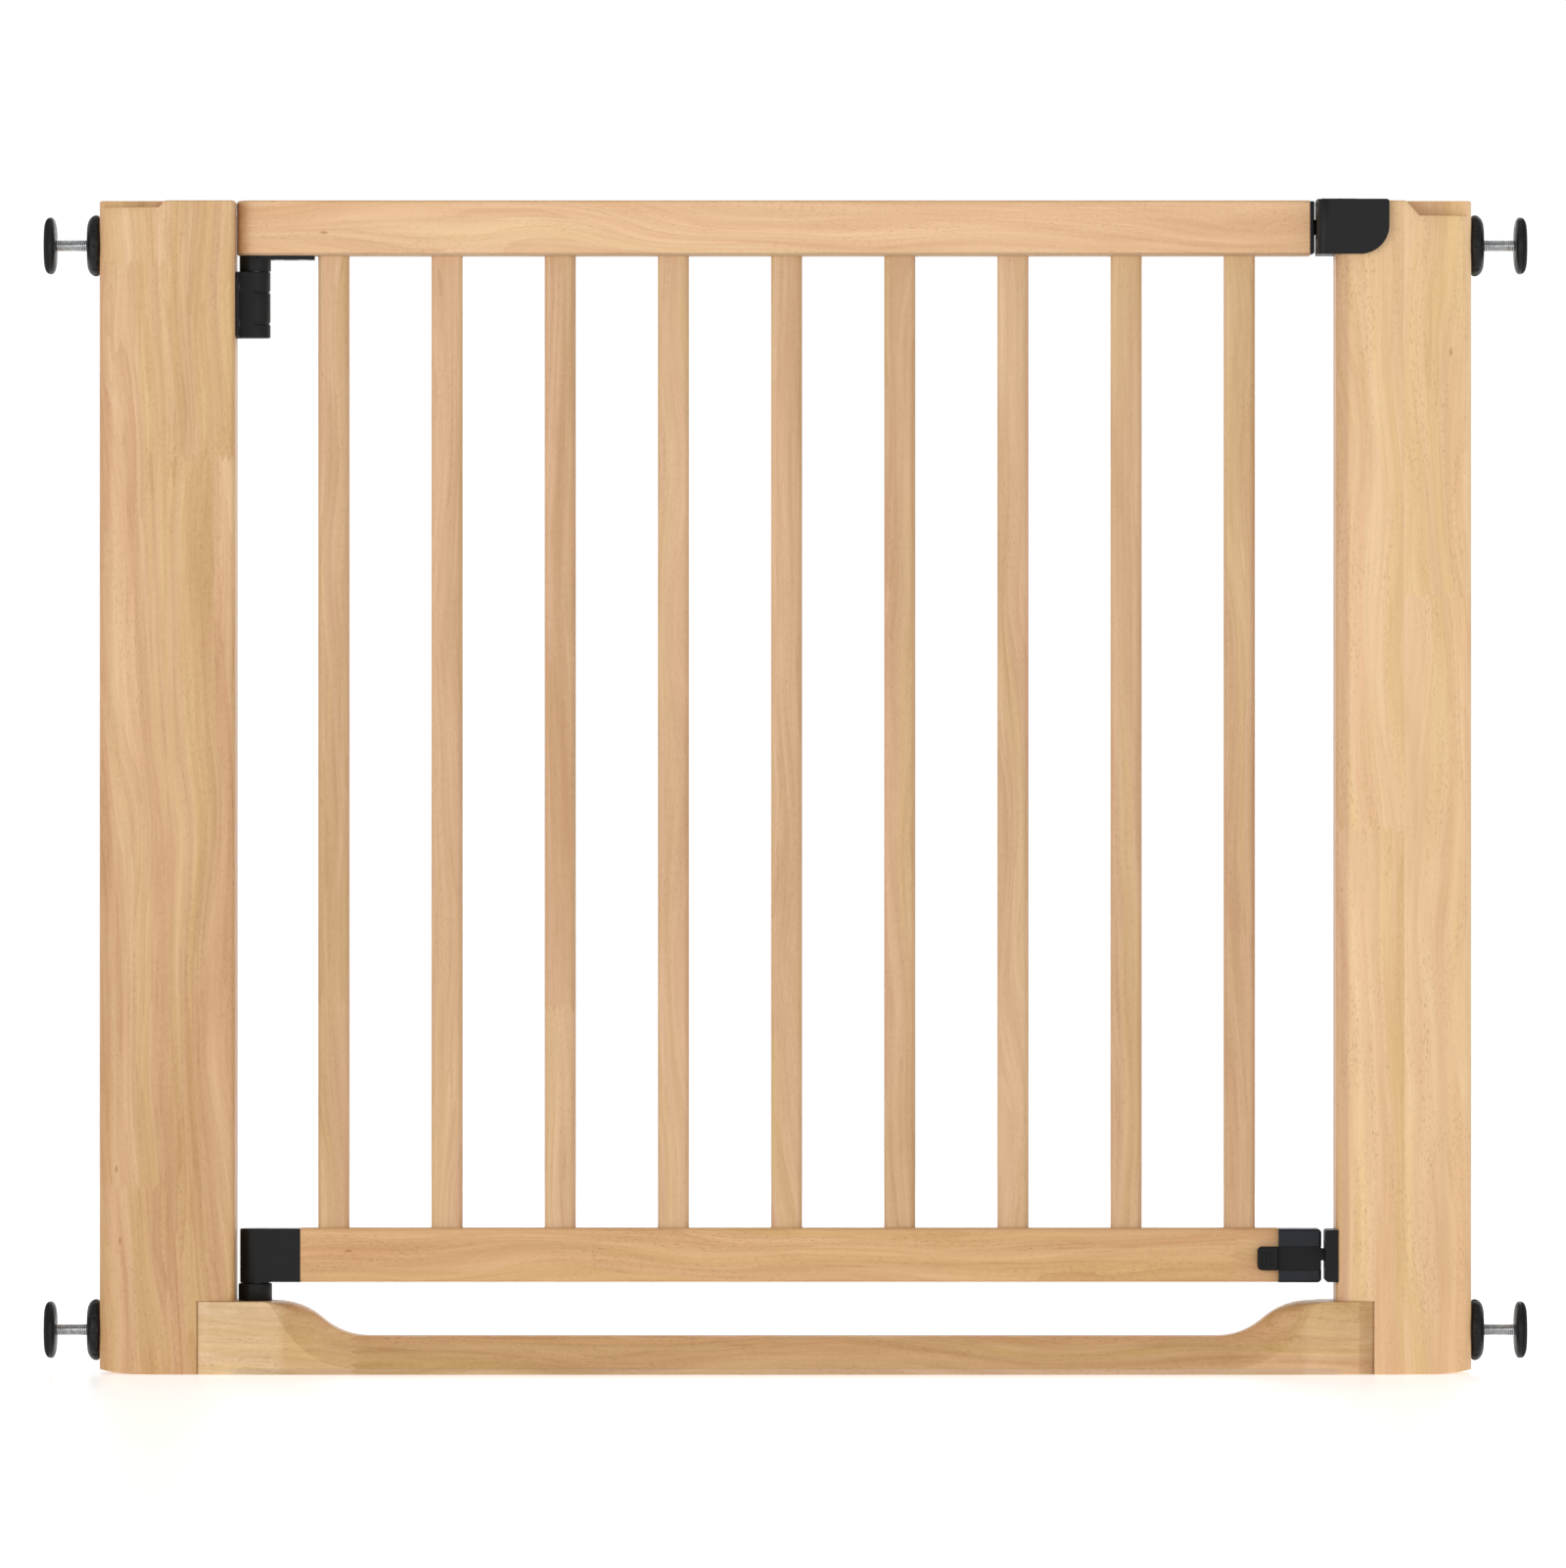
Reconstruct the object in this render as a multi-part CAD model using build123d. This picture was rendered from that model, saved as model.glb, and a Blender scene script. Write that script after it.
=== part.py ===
from build123d import *
import math
import os

# A wooden safety gate that is pressed between two walls. Millimetres.
# X runs along the gate, -Y is its front, +Z is up, and the origin is on the floor at the middle.

# Overall sizes
POST_HEIGHT = 812.8
POST_INNER = 381.2            # inner faces of the posts, from the middle of the gate
POST_OUTER = 475.6            # outer faces of the posts
POST_HALF_DEPTH = 26.0
POST_CURVE_START = 412.0      # where a post's flat front turns into its long soft curve
POST_CURVE_DEPTH = 18.0       # how far that curve falls back by the outer face
POST_CORNER_ROUND = 4.0
EDGE_ROUND = 1.2              # broken edges of the wood

# Door
PIVOT_X = -368.0              # the door's hinge line
TOP_RAIL = (775.1, 813.4)
TOP_RAIL_HALF_DEPTH = 12.7
TOP_RAIL_END = 363.6
BOTTOM_RAIL = (63.4, 100.8)
BOTTOM_RAIL_HALF_DEPTH = 10.5
BOTTOM_RAIL_SPAN = (-336.4, 341.8)
RAIL_TENON_HALF_DEPTH = 6.0   # the bottom rail's tenons inside its end fittings
RAIL_TENON_SHOULDER = 5.0
BAR_COUNT = 9
FIRST_BAR_X = -313.4
BAR_PITCH = 78.55
BAR_WIDTH = 21.6
BAR_DEPTH = 15.0
BAR_ROUND = 4.5
TENON_RADIUS = 5.0
TENON_LENGTH = 14.0

# Threshold
THRESHOLD_END = 407.2         # its ends are let into the posts
BLOCK_HEIGHT = 50.2           # end blocks
CREST_HEIGHT = 25.9           # the low step between them
CREST_HALF_DEPTH = 12.0
LIP_HEIGHT = 4.0              # front and back edges of the ramps
THRESHOLD_HALF_DEPTH = 30.0
THRESHOLD_MIDDLE = 5.3        # the low step isn't quite central
RIDGE_START = -353.0          # where the crest starts to fall at the hinge end
LIP_START = -362.0            # where the ramps' front edge starts to fall
LONG_SCREW = {"shank": 3.0, "head_radius": 6.0}

# Hinges
PIN_RADIUS = 4.0
BUSH_BORE = 4.05
BUSH_RADIUS = 6.0
PIN_IN_RAIL = 12.0            # how far the upper pin goes up into the top rail
HINGE_PLATE_BASE = 772.4
HINGE_PLATE_END = -326.8
HINGE_PLATE_HALF = 10.2
KNUCKLE_RADIUS = 10.9
BARREL = (718.1, 764.0)       # bottom and top of the barrel on the hinge post
BARREL_RADIUS = 10.6
FLANGE_THICKNESS = 2.8
FLANGE_HALF = 21.5
BUSH_STEP = 1.7               # floor of the barrel under its bush
TURNING_GAP = 0.4             # between the faces that turn on each other
LOWER_BLOCK = (63.3, 100.3)
LOWER_BLOCK_HALF = 10.6
BOSS_TOP = 62.3
BOSS_RADIUS = 11.7
NECK_RADIUS = 10.3
LOWER_BUSH_TOP = 95.6
PIVOT_PIN_BASE = 28.0

# Latch at the top, in the post away from the hinges
BOLT_BAND = (789.8, 800.2)
BOLT_HALF = 4.8
BOLT_SPAN = (359.5, 400.0)
LATCH_TRAVEL = 9.5
BOLT_ROOM_END = 424.6         # end of the bolt's channel, behind its spring
TAIL_HALF = 8.9               # the part of the housing inside the post's mortise
TAIL_BASE = 788.5
TAIL_END = 425.8
HOUSING_FRONT = -30.0
HOUSING_LEFT = 368.2
HOUSING_BACK = 13.0
HOUSING_CORNER = 7.5
BACK_PLATE_FACE = 15.5
FRONT_PLATE_END = 417.9
FRONT_PLATE_CORNER = 20.0
TOP_PLATE_END = 407.8
HOUSING_SPAN_Z = (775.6, 813.7)
HOUSING_TOP_BASE = 810.7      # underside of the housing's top plate
THUMB_RECESS = 812.3          # floor of the shallow recess that the thumb slider runs in
THUMB_SLIDE = (371.5, 396.6)
THUMB_SLIDE_HALF = 7.5
THUMB_SLIDE_TOP = 814.9
STEM = (382.0, 388.0)         # the thumb slider's stem, which carries the bolt along
STEM_HALF = 2.8
END_PLATE_FACE = 366.8        # free end of the plate on the top rail
RUNNING_GAP = 0.2             # on each side of a part that slides

# Slide bolt at the bottom of the door
SLIDER_BAND = (71.7, 88.1)
SLIDER_SPAN_Y = (-15.0, -10.8)
SLIDER_LEFT = 327.1
SLIDER_CORNER = 3.2
THUMB_TAB_FRONT = -18.5
THUMB_TAB_END = 341.4
NOSE_SHOULDER = 371.2
NOSE_TIP = 379.5
BOLT_NOSE = (78.5, 87.0)
BOLT_CASE = (63.2, 100.4)
BOLT_CASE_FACE = 371.5
BOLT_CASE_FRONT = -15.5
BOLT_CASE_TENON_END = 363.8
STRIKE = (63.8, 100.0)
STRIKE_SPAN_X = (373.9, 382.6)
STRIKE_BACK = 14.2

# Clamps: threaded spindles in the posts that press pads against the walls
CLAMP_Y = 9.0
CLAMP_HEIGHTS = {"bottom": 29.6, "top": 782.6}
SPINDLE_RADIUS = 4.0
WHEEL_RADIUS = 21.2
WHEEL_SPAN = (475.9, 484.9)
SPINDLE_START = 430.0
SPINDLE_BORE_DEPTH = 67.0
SLEEVE_LENGTH = 24.8
GRIP_COUNT = 14
PAD_RADIUS = 19.7
PAD_SPAN = (506.3, 511.2)
RUBBER_THICKNESS = 3.6

HOLE_GAP = 0.05               # holes for screws are this much larger than the screws
FROM_BASE = (Align.CENTER, Align.CENTER, Align.MIN)


# ---------------------------------------------------------------- shared shapes

def block(x, y, z):
    """A box between the two values given for each axis."""
    spans = (x, y, z)
    middle = [(low + high) / 2 for low, high in spans]
    return Pos(*middle) * Box(*[high - low for low, high in spans])


def rod(start, towards, length, radius):
    """A round bar, or the hole for one, from a start point along a direction."""
    return Plane(origin=start, z_dir=towards) * Cylinder(radius, length, align=FROM_BASE)


def upright(x, y, z, radius):
    """A vertical round bar between two heights."""
    return rod((x, y, z[0]), (0, 0, 1), z[1] - z[0], radius)


def half_round_bar(x_end, half_depth, z):
    """A bar along X from the hinge line, whose hinge end is half round about that line."""
    straight = block((PIVOT_X, x_end), (-half_depth, half_depth), z)
    return straight + upright(PIVOT_X, 0, z, half_depth)


def at(value, *targets):
    """Whether a value is one of the targets, within a hair."""
    return any(abs(value - target) < 0.01 for target in targets)


def round_edges(shape, radius, wanted):
    """Rounds the edges that the test picks."""
    return fillet([edge for edge in shape.edges() if wanted(edge.center())], radius)


def screw(head, into, length, shank=1.9, head_radius=3.8):
    """A countersunk screw with a cross recess, its head flush with the point given."""
    tip = 3.0
    body = Cylinder(shank, length - tip, align=FROM_BASE)
    body += Cone(head_radius, shank, head_radius - shank, align=FROM_BASE)
    body += Pos(0, 0, length - tip) * Cone(shank, 0.3, tip, align=FROM_BASE)
    arm = head_radius * 1.1
    recess = Box(arm, 0.8, 2.4) + Box(0.8, arm, 2.4)
    return Plane(origin=head, z_dir=into) * (body - recess)


def screw_hole(head, into, length, shank=1.9, head_radius=3.8):
    """The room that a screw takes, a little larger than the screw."""
    hole = Cylinder(shank + HOLE_GAP, length + HOLE_GAP, align=FROM_BASE)
    hole += Cone(head_radius + HOLE_GAP, shank + HOLE_GAP, head_radius - shank, align=FROM_BASE)
    return Plane(origin=head, z_dir=into) * hole


def all_screws(places, **sizes):
    """A group of screws, one for each (head, direction, length)."""
    return Compound(children=[screw(*place, **sizes) for place in places])


def drill(shape, places, **sizes):
    """Cuts the holes for a group of screws."""
    for place in places:
        shape -= screw_hole(*place, **sizes)
    return shape


# ---------------------------------------------------------------- where the screws go

UPPER_HINGE_SCREWS = [
    ((FLANGE_THICKNESS - POST_INNER, side * 16.0, height), (-1, 0, 0), 26.0)
    for side in (-1, 1)
    for height in (BARREL[0] + 9.5, BARREL[1] - 11.0)
]
UPPER_PLATE_SCREWS = [((x, 0, HINGE_PLATE_BASE), (0, 0, 1), 26.0) for x in (-351.5, -335.0)]
THRESHOLD_SCREWS = [
    ((side * 394.0, y, 0.6), (0, 0, 1), 78.0)
    for side in (-1, 1)
    for y in (-13.0, 13.0)
]
LATCH_SCREWS = [((HOUSING_LEFT, -17.5, z), (1, 0, 0), 32.0) for z in (783.0, 806.0)]
LATCH_SCREWS += [((374.6, HOUSING_BACK, z), (0, -1, 0), 16.0) for z in (781.5, 806.5)]
STRIKE_SCREWS = [((STRIKE_SPAN_X[0], 0, z), (1, 0, 0), 24.0) for z in (69.5, 95.5)]
RAIL_PLATE_SCREWS = [((END_PLATE_FACE, 0, z), (-1, 0, 0), 24.0) for z in (782.5, 807.5)]
DOOR_FITTING_SCREWS = [
    ((x, BOTTOM_RAIL_HALF_DEPTH, z), (0, -1, 0), 15.0)
    for x in (-346.0, 355.0)
    for z in (72.5, 91.5)
]


# ---------------------------------------------------------------- posts

def post_blank():
    """A post before its cuts, on the +X side: flat towards the door, curved back towards the wall."""
    curve_end = POST_CURVE_DEPTH - POST_HALF_DEPTH
    curve_width = POST_OUTER - POST_CURVE_START
    outline = [
        Line((POST_INNER, POST_HALF_DEPTH), (POST_INNER, -POST_HALF_DEPTH)),
        Line((POST_INNER, -POST_HALF_DEPTH), (POST_CURVE_START, -POST_HALF_DEPTH)),
        EllipticalCenterArc((POST_CURVE_START, curve_end), curve_width, POST_CURVE_DEPTH, 270, arc_size=90),
        Line((POST_OUTER, curve_end), (POST_OUTER, POST_HALF_DEPTH)),
        Line((POST_OUTER, POST_HALF_DEPTH), (POST_INNER, POST_HALF_DEPTH)),
    ]
    blank = extrude(make_face(outline), POST_HEIGHT)
    corners = [
        edge
        for edge in blank.edges().filter_by(Axis.Z)
        if at(abs(edge.center().Y), POST_HALF_DEPTH) and not at(edge.center().X, POST_CURVE_START)
    ]
    blank = fillet(corners, POST_CORNER_ROUND)
    return round_edges(blank, EDGE_ROUND, lambda p: p.Z > POST_HEIGHT - 0.1 or p.Z < 0.1)


def top_relief(depth):
    """The shallow step cut into a post's top at its outer front, with a slanted shoulder."""
    shoulder = 429.5
    slant = 0.88
    back = -13.0
    beyond = POST_OUTER + 5
    profile = Polyline(
        (shoulder - 1, POST_HEIGHT + 1),
        (shoulder + depth * slant, POST_HEIGHT - depth),
        (beyond, POST_HEIGHT - depth),
        (beyond, POST_HEIGHT + 1),
        close=True,
    )
    return extrude(Plane.XZ.offset(-back) * make_face(profile), POST_HALF_DEPTH + back + 2)


def foot_rise():
    """What is taken off under a post's outer end, so that its foot lifts a little off the floor."""
    start, rise = 447.0, 3.2
    beyond = POST_OUTER + 1
    curve = TangentArc((start, 0), (beyond, rise), tangent=(1, 0))
    below = Polyline((beyond, rise), (beyond, -1), (start, -1), (start, 0))
    profile = make_face([curve, *below.edges()])
    return extrude(Plane.XZ.offset(-POST_HALF_DEPTH - 1) * profile, 2 * POST_HALF_DEPTH + 2)


def spindle_bores():
    """Blind bores for the spindles, wider near the outer face for their sleeves."""
    bores = [
        rod((POST_OUTER + 1, CLAMP_Y, z), (-1, 0, 0), depth, radius)
        for z in CLAMP_HEIGHTS.values()
        for depth, radius in (
            (SPINDLE_BORE_DEPTH + 1, SPINDLE_RADIUS + 0.6),
            (SLEEVE_LENGTH + 1.2, BUSH_RADIUS),
        )
    ]
    return Compound(children=bores)


def post_body(relief_depth):
    """A post with the cuts that both posts have, on the +X side."""
    body = post_blank()
    body -= top_relief(relief_depth)
    body -= foot_rise()
    for bore in spindle_bores().solids():
        body -= bore
    room = POST_HALF_DEPTH + 2
    body -= block((POST_INNER - 2, THRESHOLD_END), (-room, room), (-1, BLOCK_HEIGHT))
    return drill(body, THRESHOLD_SCREWS[2:], **LONG_SCREW)


def left_post():
    """The hinge post."""
    return drill(mirror(post_body(4.8), about=Plane.YZ), UPPER_HINGE_SCREWS)


def right_post():
    """The latch post, with a mortise and a rebate for the latch and a seat for the strike plate."""
    body = post_body(10.6)
    start = POST_INNER - 1
    front = -POST_HALF_DEPTH - 1
    gap = 0.1
    back = STRIKE_BACK + RUNNING_GAP
    half = TAIL_HALF + gap
    body -= block((start, TAIL_END + gap), (-half, half), (TAIL_BASE - gap, HOUSING_TOP_BASE + gap))
    rebate = (HOUSING_TOP_BASE - gap, POST_HEIGHT + 1)
    body -= block((start, TOP_PLATE_END + gap), (front, HOUSING_BACK), rebate)
    body -= block((start, STRIKE_SPAN_X[1] + gap), (front, back), (STRIKE[0] - gap, STRIKE[1] + gap))
    return drill(body, LATCH_SCREWS + STRIKE_SCREWS)


# ---------------------------------------------------------------- threshold

def ogee(start, side, top_radius, bottom_radius, angle, drop):
    """A falling S of two arcs and the straight line between them. side is 1 where it falls towards +X."""
    arcs_drop = (top_radius + bottom_radius) * (1 - math.cos(math.radians(angle)))
    straight = (drop - arcs_drop) / math.sin(math.radians(angle))
    top = JernArc(start, (side, 0), top_radius, -side * angle)
    line = Line(top @ 1, (top @ 1) + (top % 1) * straight)
    bottom = JernArc(line @ 1, line % 1, bottom_radius, side * angle)
    return [top, line, bottom]


def threshold_profile(start_x, top_radius, bottom_radius, angle, low):
    """The threshold's outline seen from the front, where its low stretch is at the height given."""
    drop = BLOCK_HEIGHT - low
    mirrored_x = 2 * THRESHOLD_MIDDLE - start_x
    left = ogee((start_x, BLOCK_HEIGHT), 1, top_radius, bottom_radius, angle, drop)
    right = ogee((mirrored_x, BLOCK_HEIGHT), -1, top_radius, bottom_radius, angle, drop)
    end = THRESHOLD_END
    outline = [
        Line((-end, 0), (-end, BLOCK_HEIGHT)),
        Line((-end, BLOCK_HEIGHT), (start_x, BLOCK_HEIGHT)),
        *left,
        Line(left[-1] @ 1, right[-1] @ 1),
        *right,
        Line((mirrored_x, BLOCK_HEIGHT), (end, BLOCK_HEIGHT)),
        Line((end, BLOCK_HEIGHT), (end, 0)),
        Line((end, 0), (-end, 0)),
    ]
    return make_face(outline)


def threshold_bar():
    """The step across the bottom: high end blocks, a low crest between them and ramps to front and back."""
    crest = threshold_profile(RIDGE_START, 48.0, 48.0, 40.0, CREST_HEIGHT)
    lip = threshold_profile(LIP_START, 8.0, 60.0, 60.0, LIP_HEIGHT)
    body = extrude(Plane.XZ.offset(-CREST_HALF_DEPTH) * crest, 2 * CREST_HALF_DEPTH)
    for side in (-1, 1):
        inner = Plane.XZ.offset(side * CREST_HALF_DEPTH) * crest
        outer = Plane.XZ.offset(side * THRESHOLD_HALF_DEPTH) * lip
        body += loft([inner, outer], ruled=True)
    body &= extrude(threshold_plan(), BLOCK_HEIGHT + 1)
    body -= upright(PIVOT_X, 0, (PIVOT_PIN_BASE, BLOCK_HEIGHT + 1), PIN_RADIUS)
    return drill(body, THRESHOLD_SCREWS, **LONG_SCREW)


def threshold_plan():
    """The threshold seen from above: its ends narrow a little to go into the posts."""
    wide, narrow = THRESHOLD_HALF_DEPTH, POST_HALF_DEPTH - 0.4
    ease = 365.0
    end = THRESHOLD_END
    outline = []
    for side in (-1, 1):
        outline += [
            Line((-ease, side * wide), (ease, side * wide)),
            TangentArc((ease, side * wide), (end, side * narrow), tangent=(1, 0)),
            TangentArc((-ease, side * wide), (-end, side * narrow), tangent=(-1, 0)),
            Line((side * end, -narrow), (side * end, narrow)),
        ]
    return make_face(outline)


# ---------------------------------------------------------------- door wood

def bar_x(number):
    """The middle of a bar, counted from 1 at the hinge end."""
    return FIRST_BAR_X + (number - 1) * BAR_PITCH


def bar(number):
    """An upright bar with a round tenon at each end."""
    low, high = BOTTOM_RAIL[1], TOP_RAIL[0]
    section = RectangleRounded(BAR_WIDTH, BAR_DEPTH, BAR_ROUND)
    body = Pos(bar_x(number), 0, low) * extrude(section, high - low)
    return body + upright(bar_x(number), 0, (low - TENON_LENGTH, high + TENON_LENGTH), TENON_RADIUS)


def bar_sockets(low, high):
    """Blind holes for the bars' tenons, between two heights."""
    sockets = [upright(bar_x(number), 0, (low, high), TENON_RADIUS) for number in range(1, BAR_COUNT + 1)]
    return Compound(children=sockets)


def cut_sockets(body, sockets):
    """Cuts each tenon's hole in turn."""
    for socket in sockets.solids():
        body -= socket
    return body


def top_rail():
    """The door's top rail, half round at the hinge end."""
    body = half_round_bar(TOP_RAIL_END, TOP_RAIL_HALF_DEPTH, TOP_RAIL)
    body = round_edges(body, 2.0, lambda p: at(p.Z, *TOP_RAIL) and p.X < TOP_RAIL_END - 1)
    body = cut_sockets(body, bar_sockets(TOP_RAIL[0] - 1, TOP_RAIL[0] + TENON_LENGTH))
    body -= block((352.0, TOP_RAIL_END + 1), (-6.0, 6.0), (BOLT_BAND[0] - 0.6, BOLT_BAND[1] + 0.6))
    body -= upright(PIVOT_X, 0, (TOP_RAIL[0] - 1, TOP_RAIL[0] + PIN_IN_RAIL), PIN_RADIUS)
    return drill(body, UPPER_PLATE_SCREWS + RAIL_PLATE_SCREWS)


def rail_tenons(left, right):
    """The slimmer bar through the bottom rail whose ends are its tenons, or the room for them."""
    low, high = BOTTOM_RAIL
    shoulder = RAIL_TENON_SHOULDER
    depth = (-RAIL_TENON_HALF_DEPTH, RAIL_TENON_HALF_DEPTH)
    return block((left, right), depth, (low + shoulder, high - shoulder))


def bottom_rail():
    """The door's bottom rail, with a tenon at each end inside its fitting."""
    low, high = BOTTOM_RAIL
    left, right = BOTTOM_RAIL_SPAN
    body = block(BOTTOM_RAIL_SPAN, (-BOTTOM_RAIL_HALF_DEPTH, BOTTOM_RAIL_HALF_DEPTH), BOTTOM_RAIL)
    body = round_edges(body, 2.0, lambda p: left + 1 < p.X < right - 1)
    body += rail_tenons(left - 20.0, right + 22.0)
    body = cut_sockets(body, bar_sockets(high - TENON_LENGTH, high + 1))
    return drill(body, DOOR_FITTING_SCREWS)


# ---------------------------------------------------------------- upper hinge

def upper_hinge_plate():
    """The plate under the top rail, with the knuckle that rides just above the barrel."""
    low, high = HINGE_PLATE_BASE, TOP_RAIL[0]
    plate = half_round_bar(HINGE_PLATE_END, HINGE_PLATE_HALF, (low, high))
    plate = round_edges(plate, 2.5, lambda p: at(p.X, HINGE_PLATE_END) and at(abs(p.Y), HINGE_PLATE_HALF))
    body = plate + upright(PIVOT_X, 0, (BARREL[1] + TURNING_GAP, high), KNUCKLE_RADIUS)
    body -= upright(PIVOT_X, 0, (BARREL[1], high + 1), PIN_RADIUS)
    return drill(body, UPPER_PLATE_SCREWS)


def upper_hinge_pin():
    """The pin that hangs down from the top rail into the barrel."""
    body = upright(PIVOT_X, 0, (BARREL[0] + 3.2, TOP_RAIL[0] + PIN_IN_RAIL), PIN_RADIUS)
    return chamfer(body.edges().sort_by(Axis.Z)[0], 1.0)


def upper_hinge_barrel():
    """The barrel on the hinge post, with a flange for its screws and two shallow waists."""
    low, high = BARREL
    radius = BARREL_RADIUS
    body = block((-POST_INNER, PIVOT_X), (-radius, radius), BARREL)
    body += upright(PIVOT_X, 0, BARREL, radius)
    for height in (low + 10.0, high - 14.0):
        ring = Pos(PIVOT_X, 0, height) * Torus(radius + 1.0, 1.6)
        body -= ring & block((PIVOT_X, PIVOT_X + 15), (-13, 13), (height - 2, height + 2))
    body = round_edges(body, 0.8, lambda p: at(p.Z, low, high) and p.X > 1.5 - POST_INNER)
    flange_z = (low + 0.6, high - 0.6)
    flange = block((-POST_INNER, FLANGE_THICKNESS - POST_INNER), (-FLANGE_HALF, FLANGE_HALF), flange_z)
    body += round_edges(flange, 4.0, lambda p: at(abs(p.Y), FLANGE_HALF) and at(p.Z, *flange_z))
    body -= upright(PIVOT_X, 0, (low + BUSH_STEP, high + 1), BUSH_RADIUS)
    return drill(body, UPPER_HINGE_SCREWS)


def bush(z):
    """A plain bearing bush on the hinge line."""
    return upright(PIVOT_X, 0, z, BUSH_RADIUS) - upright(PIVOT_X, 0, (z[0] - 1, z[1] + 1), BUSH_BORE)


# ---------------------------------------------------------------- lower hinge

def lower_hinge_block():
    """The cap on the bottom rail's hinge end, with a short neck that turns on the boss."""
    low, high = LOWER_BLOCK
    joint = BOTTOM_RAIL_SPAN[0]
    body = half_round_bar(joint, LOWER_BLOCK_HALF, LOWER_BLOCK)
    body = round_edges(body, 1.0, lambda p: at(p.Z, high) and p.X < joint - 0.1)
    body += upright(PIVOT_X, 0, (BOSS_TOP + TURNING_GAP, low + 5), NECK_RADIUS)
    body -= rail_tenons(-357.0, -336.0)
    body -= upright(PIVOT_X, 0, (BOSS_TOP, LOWER_BUSH_TOP), BUSH_RADIUS)
    return drill(body, DOOR_FITTING_SCREWS[:2])


def lower_pivot_boss():
    """The boss on the threshold that carries the door's weight."""
    body = upright(PIVOT_X, 0, (BLOCK_HEIGHT, BOSS_TOP), BOSS_RADIUS)
    body = round_edges(body, 1.0, lambda p: at(p.Z, BOSS_TOP))
    return body - upright(PIVOT_X, 0, (BLOCK_HEIGHT - 1, BOSS_TOP + 1), PIN_RADIUS)


def lower_pivot_pin():
    """The pin that stands in the threshold and reaches up into the door's lower bush."""
    body = upright(PIVOT_X, 0, (PIVOT_PIN_BASE, LOWER_BUSH_TOP - 2.0), PIN_RADIUS)
    return chamfer(body.edges().sort_by(Axis.Z)[-1], 1.0)


# ---------------------------------------------------------------- latch

def latch_housing():
    """The housing on the latch post's top inner corner: a side block, a front plate and a top plate."""
    low, high = HOUSING_SPAN_Z
    front_back = -POST_HALF_DEPTH - 0.1
    side = block((HOUSING_LEFT, POST_INNER), (HOUSING_FRONT, HOUSING_BACK), HOUSING_SPAN_Z)
    side = round_edges(side, HOUSING_CORNER, lambda p: at(p.X, HOUSING_LEFT) and at(p.Y, HOUSING_FRONT))
    plate = block((POST_INNER, FRONT_PLATE_END), (HOUSING_FRONT, front_back), HOUSING_SPAN_Z)
    plate = round_edges(plate, FRONT_PLATE_CORNER, lambda p: at(p.X, FRONT_PLATE_END) and at(p.Z, low))
    plate = round_edges(plate, 2.0, lambda p: at(p.X, FRONT_PLATE_END) and at(p.Z, high))
    top = block((POST_INNER, TOP_PLATE_END), (front_back - 1, HOUSING_BACK), (HOUSING_TOP_BASE, high))
    tail = block((POST_INNER, TAIL_END), (-TAIL_HALF, TAIL_HALF), (TAIL_BASE, HOUSING_TOP_BASE))
    body = side + plate + top + tail
    for room in latch_rooms():
        body -= room
    return drill(body, LATCH_SCREWS)


def latch_rooms():
    """The hollows in the housing: the bolt's channel, the stem's slot, the thumb recess and a back pocket."""
    low, high = HOUSING_SPAN_Z
    bolt_half = BOLT_HALF + 0.3
    stem_half = STEM_HALF + 0.3
    thumb_half = THUMB_SLIDE_HALF + 0.3
    channel = (BOLT_BAND[0] - RUNNING_GAP, BOLT_BAND[1] + RUNNING_GAP)
    stem_run = (STEM[0] - RUNNING_GAP, STEM[1] + 0.1 + LATCH_TRAVEL)
    thumb_run = (THUMB_SLIDE[0] - 0.3, THUMB_SLIDE[1] + 0.4 + LATCH_TRAVEL)
    wall = 2.0
    pocket = (low + 9, BOLT_BAND[0] - 1.4)
    return [
        block((HOUSING_LEFT - 1, BOLT_ROOM_END), (-bolt_half, bolt_half), channel),
        block(stem_run, (-stem_half, stem_half), (BOLT_BAND[1], high)),
        block(thumb_run, (-thumb_half, thumb_half), (THUMB_RECESS, high + 1)),
        block((HOUSING_LEFT + wall, POST_INNER - wall), (9.0, HOUSING_BACK + 1), pocket),
    ]


def latch_back_plate():
    """The cover that closes the housing at the back, over the post's inner corner."""
    low, high = HOUSING_SPAN_Z
    body = block((HOUSING_LEFT, POST_INNER), (HOUSING_BACK, BACK_PLATE_FACE), (low, high))
    body = round_edges(body, 2.0, lambda p: at(p.Y, BACK_PLATE_FACE) and at(p.X, HOUSING_LEFT))
    return drill(body, back_plate_screws())


def back_plate_screws():
    """The latch's rear screws, with their heads on the back plate's face."""
    return [((x, BACK_PLATE_FACE, z), into, length) for (x, y, z), into, length in LATCH_SCREWS[2:]]


def latch_bolt():
    """The spring bolt, chamfered on both faces because the door closes from either side."""
    body = block(BOLT_SPAN, (-BOLT_HALF, BOLT_HALF), BOLT_BAND)
    tip = [edge for edge in body.edges().filter_by(Axis.Z) if at(edge.center().X, BOLT_SPAN[0])]
    body = chamfer(tip, 3.2)
    mortise_half = STEM_HALF + 0.15
    mortise = (STEM[0] - 0.1, STEM[1] + 0.1)
    return body - block(mortise, (-mortise_half, mortise_half), (BOLT_BAND[1] - 4, BOLT_BAND[1] + 1))


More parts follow.
